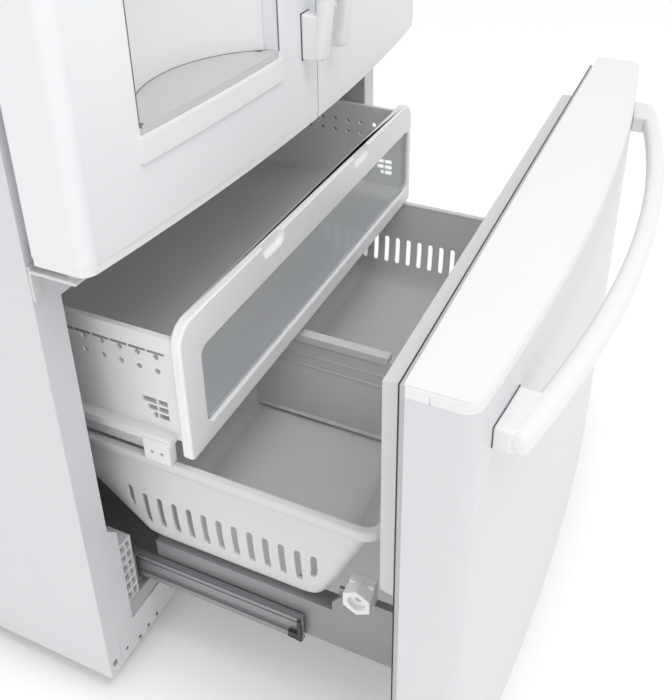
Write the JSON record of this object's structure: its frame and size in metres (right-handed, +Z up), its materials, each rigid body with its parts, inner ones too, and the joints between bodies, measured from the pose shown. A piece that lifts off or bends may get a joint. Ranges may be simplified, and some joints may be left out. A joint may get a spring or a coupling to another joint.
{
  "type": "french door refrigerator",
  "caption": "French door refrigerator with bowed white doors, a water dispenser and a pull-out bottom freezer drawer that holds a slotted basket and an upper basket.",
  "frame": {"origin": "on the floor, in the middle of the width, in the plane of the cabinet's front flange", "axes": "+Z up, the doors face -Y, +X is to the right of a person who faces the doors"},
  "size_m": [0.908, 1.339, 1.775],
  "materials": {
    "side_panel_left": "gloss white enamel",
    "side_panel_right": "gloss white enamel",
    "top_panel": "gloss white enamel",
    "back_panel": "painted grey-white sheet",
    "rear_cover": "painted grey-white sheet",
    "base_pan": "zinc plated",
    "wall_left": "smooth off-white moulding",
    "wall_right": "smooth off-white moulding",
    "back_wall": "smooth off-white moulding",
    "freezer_floor": "smooth off-white moulding",
    "compartment_divider": "smooth off-white moulding",
    "base_rail": "gloss white enamel",
    "rib_brackets": "smooth off-white moulding",
    "hinges_top": "gloss white",
    "hinges_centre": "zinc plated",
    "levelling_legs": "zinc plated",
    "roller_left": "dark grey",
    "roller_right": "dark grey",
    "compressor": "dark grey",
    "condenser": "zinc plated",
    "condenser_fan": "dark grey",
    "water_inlet": "plain",
    "rail_channels": "zinc plated",
    "basket_ledges": "smooth off-white moulding",
    "shelf_top": "clear",
    "shelf_middle": "clear",
    "crisper_cover": "clear",
    "crisper_left": "clear moulded plastic",
    "crisper_right": "clear moulded plastic",
    "filter_housing": "smooth off-white moulding",
    "door_left_shell": "gloss white enamel",
    "door_left_liner": "smooth off-white moulding",
    "door_left_gasket": "soft dark seal",
    "door_left_handle": "gloss white",
    "door_left_caps": "gloss white",
    "door_left_bins": "clear moulded plastic",
    "mullion_flap": "mid grey",
    "dispenser_housing": "gloss white",
    "dispenser_paddle": "dark grey",
    "dispenser_tray": "gloss white",
    "door_right_shell": "gloss white enamel",
    "door_right_liner": "smooth off-white moulding",
    "door_right_gasket": "soft dark seal",
    "door_right_handle": "gloss white",
    "door_right_caps": "gloss white",
    "door_right_bins": "clear moulded plastic",
    "freezer_front": "gloss white enamel",
    "freezer_liner": "smooth off-white moulding",
    "freezer_gasket": "soft dark seal",
    "freezer_top_cap": "gloss white",
    "freezer_handle": "gloss white",
    "mid_rails": "zinc plated",
    "drawer_rails": "zinc plated",
    "rail_adjusters": "gloss white",
    "lower_basket": "gloss white",
    "basket_divider": "gloss white",
    "upper_basket": "gloss white",
    "upper_frame": "gloss white",
    "upper_window": "clear moulded plastic",
    "upper_runners": "gloss white"
  },
  "bodies": {
    "cabinet": {"side_panel_left": "side_panel_left", "side_panel_right": "side_panel_right", "top_panel": "top_panel", "back_panel": "back_panel", "rear_cover": "rear_cover", "base_pan": "base_pan", "wall_left": "wall_left", "wall_right": "wall_right", "back_wall": "back_wall", "freezer_floor": "freezer_floor", "compartment_divider": "compartment_divider", "base_rail": "base_rail", "rib_brackets": "rib_brackets", "hinges_top": "hinges_top", "hinges_centre": "hinges_centre", "levelling_legs": "levelling_legs", "compressor": "compressor", "condenser": "condenser", "water_inlet": "water_inlet", "rail_channels": "rail_channels", "basket_ledges": "basket_ledges", "shelf_top": "shelf_top", "shelf_middle": "shelf_middle", "crisper_cover": "crisper_cover", "filter_housing": "filter_housing"},
    "door_left": {"door_left_shell": "door_left_shell", "door_left_liner": "door_left_liner", "door_left_gasket": "door_left_gasket", "door_left_handle": "door_left_handle", "door_left_caps": "door_left_caps", "door_left_bins": "door_left_bins", "dispenser_housing": "dispenser_housing", "dispenser_tray": "dispenser_tray"},
    "door_right": {"door_right_shell": "door_right_shell", "door_right_liner": "door_right_liner", "door_right_gasket": "door_right_gasket", "door_right_handle": "door_right_handle", "door_right_caps": "door_right_caps", "door_right_bins": "door_right_bins"},
    "flap": {"mullion_flap": "mullion_flap"},
    "paddle": {"dispenser_paddle": "dispenser_paddle"},
    "drawer": {"freezer_front": "freezer_front", "freezer_liner": "freezer_liner", "freezer_gasket": "freezer_gasket", "freezer_top_cap": "freezer_top_cap", "freezer_handle": "freezer_handle", "drawer_rails": "drawer_rails", "rail_adjusters": "rail_adjusters", "lower_basket": "lower_basket"},
    "divider": {"basket_divider": "basket_divider"},
    "middle_runners": {"mid_rails": "mid_rails"},
    "upper_drawer": {"upper_basket": "upper_basket", "upper_frame": "upper_frame", "upper_window": "upper_window", "upper_runners": "upper_runners"},
    "left_crisper": {"crisper_left": "crisper_left"},
    "right_crisper": {"crisper_right": "crisper_right"},
    "left_roller": {"roller_left": "roller_left"},
    "right_roller": {"roller_right": "roller_right"},
    "fan": {"condenser_fan": "condenser_fan"}
  },
  "joints": [
    {"name": "door_left_hinge", "type": "hinge", "parent": "cabinet", "child": "door_left", "pos_m": [-0.436, -0.052, 1.2], "axis": [0, 0, -1], "range_deg": [0, 130]},
    {"name": "door_right_hinge", "type": "hinge", "parent": "cabinet", "child": "door_right", "pos_m": [0.436, -0.052, 1.2], "axis": [0, 0, 1], "range_deg": [0, 130]},
    {"name": "flap_pivot", "type": "hinge", "parent": "door_left", "child": "flap", "pos_m": [-0.04, 0.01, 1.2], "axis": [0, 0, 1], "range_deg": [0, 85]},
    {"name": "paddle_pivot", "type": "hinge", "parent": "door_left", "child": "paddle", "pos_m": [-0.23, -0.052, 1.092], "axis": [1, 0, 0], "range_deg": [0, 7], "stiffness_Nm_per_rad": 1, "springref_deg": -11.46},
    {"name": "drawer_slide", "type": "slide", "parent": "cabinet", "child": "drawer", "axis": [0, -1, 0], "range_m": [-0.403, 0.03]},
    {"name": "middle_runner_slide", "type": "slide", "parent": "cabinet", "child": "middle_runners", "axis": [0, -1, 0], "range_m": [-0.2535, 0.019]},
    {"name": "upper_drawer_slide", "type": "slide", "parent": "cabinet", "child": "upper_drawer", "axis": [0, -1, 0], "range_m": [-0.1601, 0.012]},
    {"name": "divider_slide", "type": "slide", "parent": "drawer", "child": "divider", "axis": [1, 0, 0], "range_m": [-0.27, 0.385]},
    {"name": "left_crisper_slide", "type": "slide", "parent": "cabinet", "child": "left_crisper", "axis": [0, -1, 0], "range_m": [0, 0.1362]},
    {"name": "right_crisper_slide", "type": "slide", "parent": "cabinet", "child": "right_crisper", "axis": [0, -1, 0], "range_m": [0, 0.1362]},
    {"name": "left_roller_spin", "type": "hinge", "parent": "cabinet", "child": "left_roller", "pos_m": [-0.39, 0.683, 0.024], "axis": [1, 0, 0], "continuous": true},
    {"name": "right_roller_spin", "type": "hinge", "parent": "cabinet", "child": "right_roller", "pos_m": [0.39, 0.683, 0.024], "axis": [1, 0, 0], "continuous": true},
    {"name": "fan_spin", "type": "hinge", "parent": "cabinet", "child": "fan", "pos_m": [0, 0.665, 0.14], "axis": [1, 0, 0], "continuous": true}
  ],
  "couplings": [
    {"joint": "middle_runner_slide", "follows": "drawer_slide", "ratio": 0.628},
    {"joint": "upper_drawer_slide", "follows": "drawer_slide", "ratio": 0.397},
    {"joint": "left_crisper_slide", "follows": "door_left_hinge", "m_per_rad": 0.06},
    {"joint": "right_crisper_slide", "follows": "door_right_hinge", "m_per_rad": 0.06}
  ]
}
